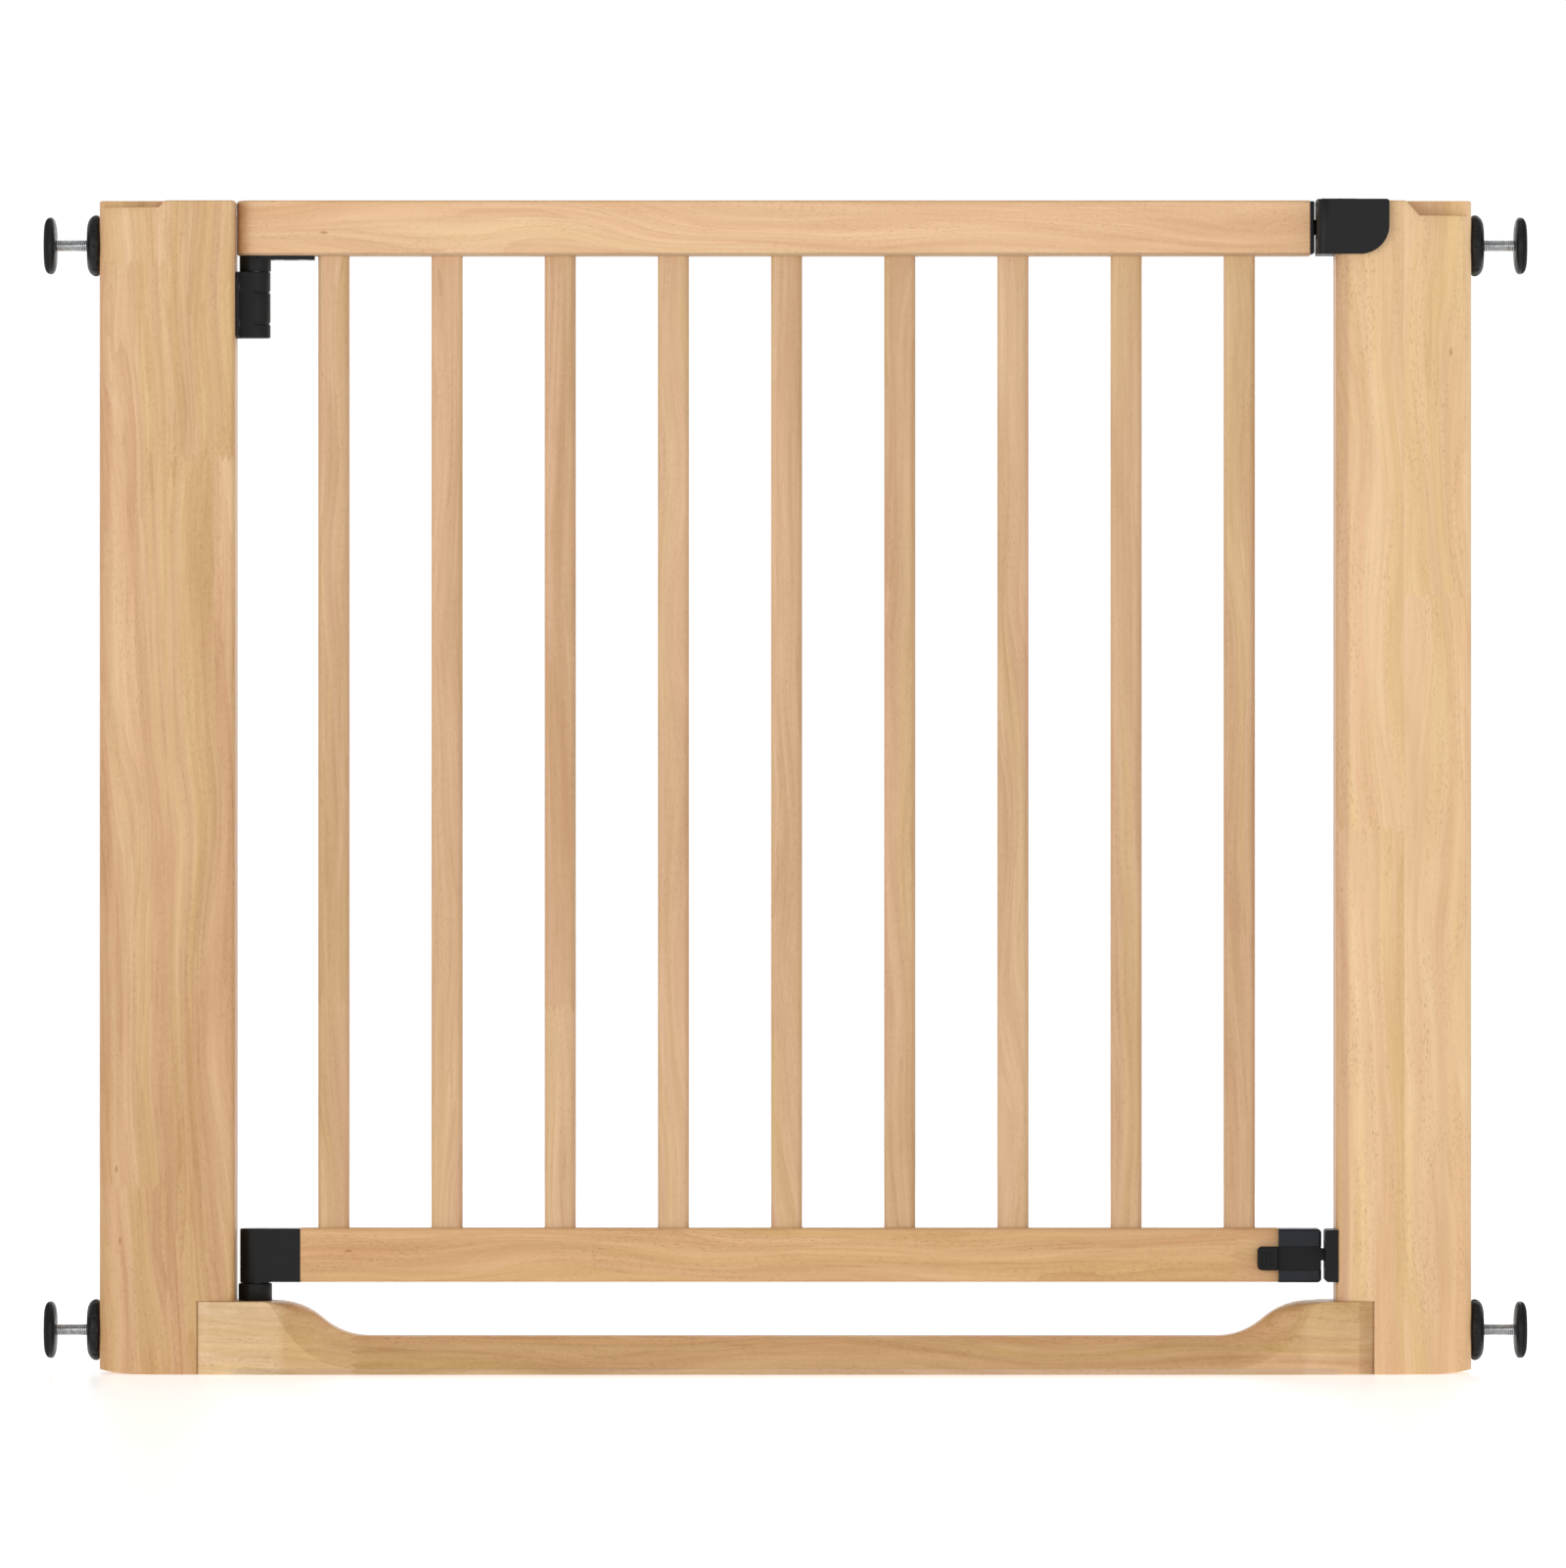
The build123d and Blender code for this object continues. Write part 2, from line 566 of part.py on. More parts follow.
def latch_slider():
    """The thumb slider on top, with a stem that carries the bolt along."""
    base, top = THUMB_RECESS + RUNNING_GAP, THUMB_SLIDE_TOP
    cap = block(THUMB_SLIDE, (-THUMB_SLIDE_HALF, THUMB_SLIDE_HALF), (base, top))
    cap = round_edges(cap, 1.0, lambda p: at(p.Z, top))
    groove_pitch, groove_radius, groove_half = 3.5, 0.9, 6.5
    middle = sum(THUMB_SLIDE) / 2
    for number in range(-2, 3):
        start = (middle + number * groove_pitch, -groove_half, top + 0.35)
        cap -= rod(start, (0, 1, 0), 2 * groove_half, groove_radius)
    return cap + block(STEM, (-STEM_HALF, STEM_HALF), (BOLT_BAND[1] - 3.9, base + RUNNING_GAP))


def latch_spring():
    """The coil spring behind the bolt."""
    wire = 0.45
    path = Plane(origin=(400.6, 0, sum(BOLT_BAND) / 2), z_dir=(1, 0, 0)) * Helix(3.2, 23.4, 3.6)
    section = Plane(origin=path @ 0, z_dir=path % 0) * Circle(wire)
    return sweep(section, path, is_frenet=True)


def rail_end_plate():
    """The plate on the top rail's free end, with the mouth for the latch bolt."""
    half = TOP_RAIL_HALF_DEPTH - 0.2
    body = block((TOP_RAIL_END, END_PLATE_FACE), (-half, half), (776.4, 812.8))
    body = round_edges(body, 1.2, lambda p: at(p.X, END_PLATE_FACE))
    mouth = (BOLT_BAND[0] - 0.5, BOLT_BAND[1] + 0.5)
    body -= block((TOP_RAIL_END - 1, END_PLATE_FACE + 1), (-5.6, 5.6), mouth)
    return drill(body, RAIL_PLATE_SCREWS)


# ---------------------------------------------------------------- slide bolt

def bolt_housing():
    """The cap on the bottom rail's free end, open at the front where the slide bolt runs."""
    low, high = BOLT_CASE
    left, right = BOTTOM_RAIL_SPAN[1], BOLT_CASE_FACE
    front = BOLT_CASE_FRONT
    body = block((left, right), (front, BOTTOM_RAIL_HALF_DEPTH), BOLT_CASE)
    body = round_edges(body, 3.0, lambda p: at(p.X, right) and at(p.Z, low, high))
    body = round_edges(body, 2.0, lambda p: at(p.Y, front) and at(p.Z, low, high))
    channel = (SLIDER_BAND[0] - RUNNING_GAP, SLIDER_BAND[1] + RUNNING_GAP)
    body -= block((left - 1, right + 1), (front - 1, -BOTTOM_RAIL_HALF_DEPTH), channel)
    body -= rail_tenons(left - 1, BOLT_CASE_TENON_END)
    return drill(body, DOOR_FITTING_SCREWS[2:])


def slide_bolt():
    """The hand bolt: a thumb tab in front of the rail, a flat slider and a narrower tip."""
    left, front = SLIDER_LEFT, SLIDER_SPAN_Y[0]
    slider = slide_bolt_end(block((left, NOSE_SHOULDER), SLIDER_SPAN_Y, SLIDER_BAND))
    tab = slide_bolt_end(block((left, THUMB_TAB_END), (THUMB_TAB_FRONT, front), SLIDER_BAND))
    tab = round_edges(tab, 1.2, lambda p: at(p.Y, THUMB_TAB_FRONT))
    for x in (left + 3.4, left + 6.4, left + 9.4):
        tab -= rod((x, THUMB_TAB_FRONT - 0.4, SLIDER_BAND[0] + 3), (0, 0, 1), 10.0, 0.8)
    nose = block((NOSE_SHOULDER - 6, NOSE_TIP), SLIDER_SPAN_Y, BOLT_NOSE)
    nose = chamfer([edge for edge in nose.edges().filter_by(Axis.Z) if at(edge.center().X, NOSE_TIP)], 1.5)
    return slider + tab + nose


def slide_bolt_end(shape):
    """Rounds the two corners of the slide bolt's hand end."""
    return round_edges(shape, SLIDER_CORNER, lambda p: at(p.X, SLIDER_LEFT) and at(p.Z, *SLIDER_BAND))


def strike_plate():
    """The plate let into the latch post, with the slot that takes the slide bolt's tip."""
    face = STRIKE_SPAN_X[0]
    body = block(STRIKE_SPAN_X, (-POST_HALF_DEPTH - 0.3, STRIKE_BACK), STRIKE)
    body = round_edges(body, 2.0, lambda p: at(p.X, face) and at(p.Z, *STRIKE))
    slot_y = (SLIDER_SPAN_Y[0] - 0.8, SLIDER_SPAN_Y[1] + 0.6)
    body -= block((face - 1, NOSE_TIP + 1.1), slot_y, (BOLT_NOSE[0] - 0.5, BOLT_NOSE[1] + 0.5))
    return drill(body, STRIKE_SCREWS)


# ---------------------------------------------------------------- clamps

def hand_wheel(z):
    """A domed hand wheel with shallow grips round its rim, on the +X side."""
    inner, outer = WHEEL_SPAN
    rim = WHEEL_RADIUS
    back_round = (2.5, 3.4)
    dome = (6.1, 8.2)
    outline = [
        Line((inner, BUSH_BORE), (inner, rim - back_round[1])),
        EllipticalCenterArc((inner + back_round[0], rim - back_round[1]), *back_round, 180, arc_size=-90),
        Line((inner + back_round[0], rim), (outer - dome[0], rim)),
        EllipticalCenterArc((outer - dome[0], rim - dome[1]), *dome, 90, arc_size=-90),
        Line((outer, rim - dome[1]), (outer, BUSH_BORE)),
        Line((outer, BUSH_BORE), (inner, BUSH_BORE)),
    ]
    body = revolve(make_face(outline), Axis.X)
    grip_radius = 4.0
    reach = rim + 3.2
    for number in range(GRIP_COUNT):
        angle = 2 * math.pi * number / GRIP_COUNT
        centre = (inner - 1, reach * math.cos(angle), reach * math.sin(angle))
        body -= rod(centre, (1, 0, 0), outer - inner + 2, grip_radius)
    return Pos(0, CLAMP_Y, z) * body


def spindle(z):
    """The threaded rod that pushes the pad out, on the +X side."""
    body = rod((SPINDLE_START, CLAMP_Y, z), (1, 0, 0), PAD_SPAN[1] - 2.0 - SPINDLE_START, SPINDLE_RADIUS)
    return chamfer(body.edges().sort_by(Axis.X)[0], 0.8)


def pad_shell(z):
    """The stiff disc on the spindle's end, on the +X side."""
    inner, outer = PAD_SPAN
    back_round = (3.3, 9.0)
    centre = (inner + back_round[0], PAD_RADIUS - back_round[1])
    outline = [
        Line((inner, 0), (inner, PAD_RADIUS - back_round[1])),
        EllipticalCenterArc(centre, *back_round, 180, arc_size=-90),
        Line((inner + back_round[0], PAD_RADIUS), (outer, PAD_RADIUS)),
        Line((outer, PAD_RADIUS), (outer, 0)),
        Line((outer, 0), (inner, 0)),
    ]
    body = revolve(make_face(outline), Axis.X)
    body -= rod((inner - 1, 0, 0), (1, 0, 0), outer - 1.0 - inner, SPINDLE_RADIUS)
    return Pos(0, CLAMP_Y, z) * body


def pad_rubber(z):
    """The soft rounded face that touches the wall, with two ring grooves, on the +X side."""
    inner, outer = PAD_SPAN[1], PAD_SPAN[1] + RUBBER_THICKNESS
    radius, face_radius = PAD_RADIUS - 0.2, 12.6
    outline = [
        Line((inner, 0), (inner, radius)),
        EllipticalCenterArc((inner, face_radius), RUBBER_THICKNESS, radius - face_radius, 90, arc_size=-90),
        Line((outer, face_radius), (outer, 0)),
        Line((outer, 0), (inner, 0)),
    ]
    body = revolve(make_face(outline), Axis.X)
    for groove in (6.0, 9.5):
        depth, half_width = 0.7, 0.6
        floor = (outer - depth, 0, 0)
        ring = rod(floor, (1, 0, 0), depth + 1, groove + half_width)
        body -= ring - rod(floor, (1, 0, 0), depth + 1, groove - half_width)
    return Pos(0, CLAMP_Y, z) * body


def spindle_sleeves():
    """The plain sleeves in the posts' outer faces that the spindles run through."""
    sleeves = []
    for side in (-1, 1):
        for z in CLAMP_HEIGHTS.values():
            start = POST_OUTER - SLEEVE_LENGTH
            outer = rod((side * start, CLAMP_Y, z), (side, 0, 0), SLEEVE_LENGTH, BUSH_RADIUS)
            bore = rod((side * (start - 1), CLAMP_Y, z), (side, 0, 0), SLEEVE_LENGTH + 2, BUSH_BORE)
            sleeves.append(outer - bore)
    return Compound(children=sleeves)


# ---------------------------------------------------------------- all parts

def clamp_nodes():
    """The pieces of the four clamps, by node name."""
    makers = {"wheel": hand_wheel, "spindle": spindle, "pad_shell": pad_shell, "pad_rubber": pad_rubber}
    nodes = {}
    for level, z in CLAMP_HEIGHTS.items():
        for piece, make in makers.items():
            nodes[f"{level}_right_{piece}"] = make(z)
            nodes[f"{level}_left_{piece}"] = mirror(make(z), about=Plane.YZ)
    return nodes


def all_nodes():
    """Every piece of the gate, by node name."""
    nodes = {
        "left_post": left_post(),
        "right_post": right_post(),
        "threshold_bar": threshold_bar(),
        "threshold_screws": all_screws(THRESHOLD_SCREWS, **LONG_SCREW),
        "spindle_sleeves": spindle_sleeves(),
        "upper_hinge_barrel": upper_hinge_barrel(),
        "upper_hinge_bush": bush((BARREL[0] + BUSH_STEP, BARREL[1])),
        "upper_hinge_screws": all_screws(UPPER_HINGE_SCREWS),
        "lower_pivot_boss": lower_pivot_boss(),
        "lower_pivot_pin": lower_pivot_pin(),
        "latch_housing": latch_housing(),
        "latch_back_plate": latch_back_plate(),
        "latch_screws": all_screws(LATCH_SCREWS[:2] + back_plate_screws()),
        "strike_plate": strike_plate(),
        "strike_screws": all_screws(STRIKE_SCREWS),
        "top_rail": top_rail(),
        "bottom_rail": bottom_rail(),
        "upper_hinge_plate": upper_hinge_plate(),
        "upper_hinge_pin": upper_hinge_pin(),
        "upper_plate_screws": all_screws(UPPER_PLATE_SCREWS),
        "lower_hinge_block": lower_hinge_block(),
        "lower_hinge_bush": bush((BOSS_TOP + 0.7, LOWER_BUSH_TOP)),
        "rail_end_plate": rail_end_plate(),
        "rail_plate_screws": all_screws(RAIL_PLATE_SCREWS),
        "bolt_housing": bolt_housing(),
        "door_fitting_screws": all_screws(DOOR_FITTING_SCREWS),
        "slide_bolt": slide_bolt(),
        "latch_bolt": latch_bolt(),
        "latch_slider": latch_slider(),
        "latch_spring": latch_spring(),
    }
    for number in range(1, BAR_COUNT + 1):
        nodes[f"bar_{number}"] = bar(number)
    nodes.update(clamp_nodes())
    return nodes


os.makedirs("parts", exist_ok=True)
for name, shape in all_nodes().items():
    export_step(shape, f"parts/{name}.step")
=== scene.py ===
import math

import bpy
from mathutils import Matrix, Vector


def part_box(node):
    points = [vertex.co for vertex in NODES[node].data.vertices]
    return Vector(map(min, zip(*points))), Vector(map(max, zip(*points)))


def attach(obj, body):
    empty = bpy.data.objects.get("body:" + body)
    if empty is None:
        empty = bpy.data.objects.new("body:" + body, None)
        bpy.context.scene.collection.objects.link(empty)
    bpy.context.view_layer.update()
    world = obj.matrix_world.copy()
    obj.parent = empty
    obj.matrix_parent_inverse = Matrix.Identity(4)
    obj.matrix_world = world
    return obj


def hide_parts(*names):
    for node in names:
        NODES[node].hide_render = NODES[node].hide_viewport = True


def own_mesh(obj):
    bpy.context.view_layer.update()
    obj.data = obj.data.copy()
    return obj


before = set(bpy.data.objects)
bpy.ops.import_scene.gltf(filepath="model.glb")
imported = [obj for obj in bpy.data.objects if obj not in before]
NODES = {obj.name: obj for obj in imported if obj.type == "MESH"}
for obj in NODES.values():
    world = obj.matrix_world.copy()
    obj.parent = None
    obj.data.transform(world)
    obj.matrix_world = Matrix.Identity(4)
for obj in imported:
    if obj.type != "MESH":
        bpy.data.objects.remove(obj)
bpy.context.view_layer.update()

# Looks for the wooden safety gate. Metres, in the CAD frame: X along the gate, -Y its front, +Z up.

MM = 1000.0                    # object coordinates are read in millimetres inside the materials
CLAMPS = ["bottom_left", "bottom_right", "top_left", "top_right"]


# ---------------------------------------------------------------- node graphs

def srgb(red, green, blue):
    """A linear colour, with alpha, from display values out of 255."""
    linear = []
    for value in (red, green, blue):
        share = value / 255
        linear.append(share / 12.92 if share <= 0.04045 else ((share + 0.055) / 1.055) ** 2.4)
    return (*linear, 1.0)


class Graph:
    """A material's node tree, with short calls for the nodes that these materials use."""

    def __init__(self, name):
        self.material = bpy.data.materials.new(name)
        self.material.use_nodes = True
        self.tree = self.material.node_tree
        self.tree.nodes.clear()
        output = self.tree.nodes.new("ShaderNodeOutputMaterial")
        self.shader = self.tree.nodes.new("ShaderNodeBsdfPrincipled")
        self.tree.links.new(self.shader.outputs[0], output.inputs[0])
        self.place = self.tree.nodes.new("ShaderNodeTexCoord")

    def feed(self, node, key, value):
        """Sets a node's input, from a socket or to a value."""
        if isinstance(value, bpy.types.NodeSocket):
            self.tree.links.new(value, node.inputs[key])
        else:
            node.inputs[key].default_value = value

    def add(self, kind, inputs=None, **settings):
        node = self.tree.nodes.new(kind)
        for key, value in settings.items():
            setattr(node, key, value)
        for key, value in (inputs or {}).items():
            self.feed(node, key, value)
        return node

    def math(self, operation, first, second=0.0, third=0.0):
        inputs = {0: first, 1: second, 2: third}
        return self.add("ShaderNodeMath", inputs, operation=operation).outputs[0]

    def vector(self, x, y, z):
        return self.add("ShaderNodeCombineXYZ", {0: x, 1: y, 2: z}).outputs[0]

    def noise(self, vector, detail=2.0, roughness=0.5):
        inputs = {"Vector": vector, "Scale": 1.0, "Detail": detail, "Roughness": roughness}
        return self.add("ShaderNodeTexNoise", inputs).outputs[0]

    def cells(self, vector):
        inputs = {"Vector": vector, "Scale": 1.0, "Randomness": 1.0}
        return self.add("ShaderNodeTexVoronoi", inputs)

    def ramp(self, value, low, high, start=0.0, end=1.0):
        inputs = {0: value, 1: low, 2: high, 3: start, 4: end}
        return self.add("ShaderNodeMapRange", inputs, clamp=True).outputs[0]

    def mix(self, share, first, second, blend="MIX"):
        node = self.add("ShaderNodeMix", data_type="RGBA", blend_type=blend)
        self.feed(node, 0, share)
        self.feed(node, 6, first)
        self.feed(node, 7, second)
        return node.outputs[2]

    def bump(self, height, distance, strength=1.0):
        inputs = {"Height": height, "Distance": distance, "Strength": strength}
        return self.add("ShaderNodeBump", inputs).outputs[0]

    def scaled(self, vector, factor):
        return self.add("ShaderNodeVectorMath", {0: vector, "Scale": factor}, operation="SCALE").outputs[0]

    def grown(self, factor=MM):
        """The place on the object, in millimetres unless another factor is given."""
        return self.scaled(self.place.outputs["Object"], factor)

    def point(self):
        """The place on the object as x, y and z in millimetres."""
        return self.add("ShaderNodeSeparateXYZ", {0: self.grown()}).outputs

    def inside(self, value, low, high, soft=0.4):
        """One where a value is between two limits, with soft ends."""
        rise = self.ramp(value, low - soft, low)
        return self.math("MULTIPLY", rise, self.ramp(value, high + soft, high))

    def tint(self, share, colour, by):
        """The colour multiplied by another, as far as the share says."""
        return self.mix(share, colour, (*by, 1.0), "MULTIPLY")

    def finish(self, **inputs):
        for key, value in inputs.items():
            self.feed(self.shader, key.replace("_", " "), value)
        return self.material


# ---------------------------------------------------------------- wood

PINKER = (1.0, 0.945, 0.925)
YELLOWER = (0.985, 0.995, 0.865)
SEAM = (0.62, 0.55, 0.50)
RAY = (0.66, 0.58, 0.50)
KNOT = (0.62, 0.50, 0.40)
END_GRAIN = (0.80, 0.74, 0.68)
KNOT_LENGTH = 2.6              # a knot's length along the fibres, in widths


def beech(name, grain, light, dark, seed, strip, strip_start, piece, slant, dashes,
          contrast=1.0, knots=(), zones=(), ramps=None):
    """Clear-lacquered beech, glued from strips of finger-jointed pieces, with flames, streaks and short rays.

    grain is the axis along the fibres. light and dark are display colours out of 255. strip is a glued
    strip's width, from strip_start on, and piece its length, in millimetres. slant is the fibres' lean, and
    dashes the strength of the rays. knots are (across, along, size). zones are (tint, softness, spans along
    the axes). ramps tints what faces up."""
    g = Graph(name)
    axes = g.point()
    along, across = (axes["Z"], axes["X"]) if grain == "Z" else (axes["X"], axes["Z"])
    depth = axes["Y"]

    def stretched(width, length, sideways=across, offset=0.0):
        moved = g.math("ADD", g.math("DIVIDE", along, length), seed + offset)
        return g.vector(g.math("DIVIDE", sideways, width), g.math("DIVIDE", depth, width * 1.6), moved)

    def signed(value):
        return g.math("SUBTRACT", value, 0.5)

    # Which glued strip and which finger-jointed piece of it
    shifted = g.math("SUBTRACT", across, strip_start)
    strip_number = g.math("FLOOR", g.math("DIVIDE", shifted, strip))
    seeded = g.math("ADD", strip_number, seed)
    stagger = g.add("ShaderNodeTexWhiteNoise", {"W": seeded}, noise_dimensions="1D")
    fingers = g.math("MULTIPLY", g.math("PINGPONG", across, 2.2), 2.6)
    reach = g.math("ADD", g.math("ADD", along, fingers), g.math("MULTIPLY", stagger.outputs[0], piece))
    piece_number = g.math("FLOOR", g.math("DIVIDE", reach, piece))
    identity = g.vector(strip_number, piece_number, seed)
    chance = g.add("ShaderNodeTexWhiteNoise", {"Vector": identity}, noise_dimensions="3D")
    draws = g.add("ShaderNodeSeparateColor", {0: chance.outputs[1]}).outputs

    # The fibres wander and lean, so streaks run as slow flames
    warp = g.math("MULTIPLY", signed(g.noise(stretched(52, 230), detail=1)), 44)
    lean = g.math("MULTIPLY", along, g.math("MULTIPLY_ADD", signed(draws[0]), slant * 1.6, slant))
    leaning = g.math("ADD", g.math("ADD", across, lean), g.math("MULTIPLY_ADD", draws[1], 60, warp))
    flame = g.noise(stretched(9, 150, leaning, 3.1), detail=2, roughness=0.55)
    streak = g.noise(stretched(3.4, 120, leaning, 5.7), detail=3, roughness=0.6)
    hair = g.noise(stretched(0.85, 42, leaning, 9.3), detail=2)
    broad = g.noise(stretched(26, 420, leaning, 1.9), detail=1)
    hue = g.noise(stretched(15, 520, leaning, 7.3), detail=1)
    ring_at = g.math("DIVIDE", g.math("ADD", leaning, g.math("MULTIPLY", signed(flame), 26)), 6.2)
    ring = g.math("POWER", g.math("FRACT", ring_at), 4)
    ring = g.math("MULTIPLY", ring, g.ramp(g.noise(stretched(30, 260, leaning, 11.0), detail=0), 0.38, 0.66))

    # Short dark rays gathered in patches, and a fine speckle
    ray_place = stretched(0.8, 3.6, across, 2.3)
    patches = g.ramp(g.noise(stretched(11, 95, leaning, 13.0), detail=1), 0.40, 0.62)
    ray = g.math("MULTIPLY", g.ramp(g.noise(ray_place, detail=1), 0.585, 0.70), patches)
    speckle = signed(g.noise(stretched(1.9, 3.2, across, 4.4), detail=1))

    tone = g.math("MULTIPLY_ADD", signed(draws[2]), 0.22 * contrast, 0.5)
    for part, weight in ((broad, 0.85), (flame, 1.05), (streak, 0.80), (hair, 0.50)):
        tone = g.math("ADD", tone, g.math("MULTIPLY", signed(part), weight * contrast))
    tone = g.math("ADD", tone, g.math("MULTIPLY", speckle, 0.30 * contrast))
    tone = g.math("SUBTRACT", tone, g.math("MULTIPLY", ring, 0.30 * contrast))
    colour = g.mix(g.ramp(tone, 0.0, 1.0), srgb(*dark), srgb(*light))
    colour = g.tint(g.ramp(hue, 0.52, 0.36, 0.0, 0.9), colour, PINKER)
    colour = g.tint(g.ramp(hue, 0.49, 0.64, 0.0, 0.9), colour, YELLOWER)
    colour = g.tint(g.math("MULTIPLY", ray, dashes), colour, RAY)

    for side_place, long_place, size in knots:
        sideways = g.math("DIVIDE", g.math("SUBTRACT", across, side_place), size)
        lengthways = g.math("DIVIDE", g.math("SUBTRACT", along, long_place), size * KNOT_LENGTH)
        apart = g.math("ADD", g.math("POWER", sideways, 2), g.math("POWER", lengthways, 2))
        colour = g.tint(g.ramp(apart, 1.6, 0.2, 0.0, 0.8), colour, KNOT)
    # Tinted spans: the seams and paler pieces, and where given, painted shade and painted light on edges,
    # recesses and the lip
    for by, soft, spans in zones:
        share = 1.0
        for axis, span in spans.items():
            share = g.math("MULTIPLY", share, g.inside(axes[axis], *span, soft))
        colour = g.tint(share, colour, by)

    # End grain drinks more lacquer and looks darker
    normal = g.add("ShaderNodeSeparateXYZ", {0: g.place.outputs["Normal"]}).outputs
    end_grain = g.ramp(g.math("ABSOLUTE", normal[grain]), 0.72, 0.95, 0.0, 0.8)
    colour = g.tint(end_grain, colour, END_GRAIN)
    if ramps:
        colour = g.tint(g.ramp(normal["Z"], 0.10, 0.55), colour, ramps)

    height = g.math("SUBTRACT", g.math("MULTIPLY", hair, 0.6), g.math("MULTIPLY", ray, 0.4))
    return g.finish(
        Base_Color=colour,
        Roughness=g.ramp(hair, 0.2, 0.8, 0.42, 0.54),
        Specular_IOR_Level=0.30,
        Coat_Weight=0.10,
        Coat_Roughness=0.30,
        Normal=g.bump(height, 0.00010, 0.6),
    )


# ---------------------------------------------------------------- plastic, rubber and metal

def moulded(name, colour, roughness, texture, depth):
    """Black moulded plastic with a spark-eroded texture, faint dust and handled patches.

    texture is the pits' size in millimetres, and depth their depth in metres."""
    patch = 9                  # a handled patch's size, in millimetres
    g = Graph(name)
    point = g.grown()
    fine = g.scaled(point, 1 / texture)
    large = g.scaled(point, 1 / patch)
    pits = g.cells(fine).outputs["Distance"]
    dust = g.noise(fine, detail=4, roughness=0.7)
    handled = g.noise(large, detail=3)
    lifted = tuple(min(1.0, value * 1.9 + 0.004) for value in colour[:3]) + (1.0,)
    tone = g.mix(g.ramp(dust, 0.45, 0.85, 0.0, 0.35), colour, lifted)
    tone = g.mix(g.ramp(handled, 0.4, 0.75, 0.0, 0.4), tone, lifted)
    return g.finish(
        Base_Color=tone,
        Roughness=g.ramp(handled, 0.3, 0.7, roughness - 0.07, roughness + 0.06),
        Specular_IOR_Level=0.22,
        Normal=g.bump(pits, depth, 0.55),
    )


def rubber(name):
    """Soft matt rubber with a fine skin."""
    g = Graph(name)
    skin = g.noise(g.grown(2200.0), detail=5, roughness=0.7)
    colour = g.mix(g.ramp(skin, 0.35, 0.75), srgb(18, 18, 19), srgb(32, 31, 30))
    return g.finish(
        Base_Color=colour,
        Roughness=g.ramp(skin, 0.3, 0.7, 0.74, 0.86),
        Specular_IOR_Level=0.2,
        Normal=g.bump(skin, 0.00012, 0.6),
    )


def metal(name, light, dark, roughness, stretch):
    """Zinc-plated steel with drawing marks. stretch is the marks' length along each axis, in millimetres."""
    g = Graph(name)
    point = g.grown()
    marks = g.add("ShaderNodeVectorMath", {0: point, 1: stretch}, operation="DIVIDE").outputs[0]
    drawn = g.noise(marks, detail=4, roughness=0.65)
    bloom = g.noise(g.scaled(point, 0.35), detail=2)
    colour = g.mix(g.ramp(bloom, 0.35, 0.7), srgb(*light), srgb(*dark))
    return g.finish(
        Base_Color=colour,
        Metallic=1.0,
        Roughness=g.ramp(drawn, 0.25, 0.75, roughness - 0.06, roughness + 0.10),
        Normal=g.bump(drawn, 0.00003, 0.5),
    )


def nylon(name):
    """Natural nylon for the bushes."""
    g = Graph(name)
    skin = g.noise(g.grown(900.0), detail=3)
    return g.finish(
        Base_Color=g.mix(skin, srgb(226, 224, 214), srgb(238, 237, 230)),
        Roughness=g.ramp(skin, 0.3, 0.7, 0.38, 0.5),
        Subsurface_Weight=0.1,
        Normal=g.bump(skin, 0.00004, 0.4),
    )


def floor_finish():
    """A pale, faintly glossy studio floor."""
    g = Graph("floor")
    cloud = g.noise(g.place.outputs["Object"], detail=3)
    return g.finish(
        Base_Color=g.mix(cloud, (0.90, 0.90, 0.90, 1.0), (0.93, 0.93, 0.93, 1.0)),
        Roughness=g.ramp(cloud, 0.0, 1.0, 0.30, 0.36),
        Specular_IOR_Level=0.3,
        Emission_Color=(1.0, 1.0, 1.0, 1.0),
        Emission_Strength=0.45,
    )


# ---------------------------------------------------------------- giving the CAD nodes their finish

def dress(names, material, bevel=0.0):
    """Gives CAD nodes a material, and eases the edges that the CAD leaves sharp."""
    for name in names:
        node = NODES[name]
        node.data.materials.clear()
        node.data.materials.append(material)
        if bevel:
            ease_edges(node, bevel)


def ease_edges(node, width):
    """A narrow rounded edge, so that edges catch the light."""
    sharp_angle = 32
    weld = node.modifiers.new("weld", "WELD")
    weld.merge_threshold = 0.00001
    bevel = node.modifiers.new("bevel", "BEVEL")
    bevel.width = width
    bevel.segments = 2
    bevel.limit_method = "ANGLE"
    bevel.angle_limit = math.radians(sharp_angle)
    bevel.harden_normals = True


# ---------------------------------------------------------------- threaded spindles

PITCH = 0.00125                # an M8 thread
THREAD_PROFILE = [0.0, 0.0, 0.0, -0.00028, -0.00048, -0.00028]


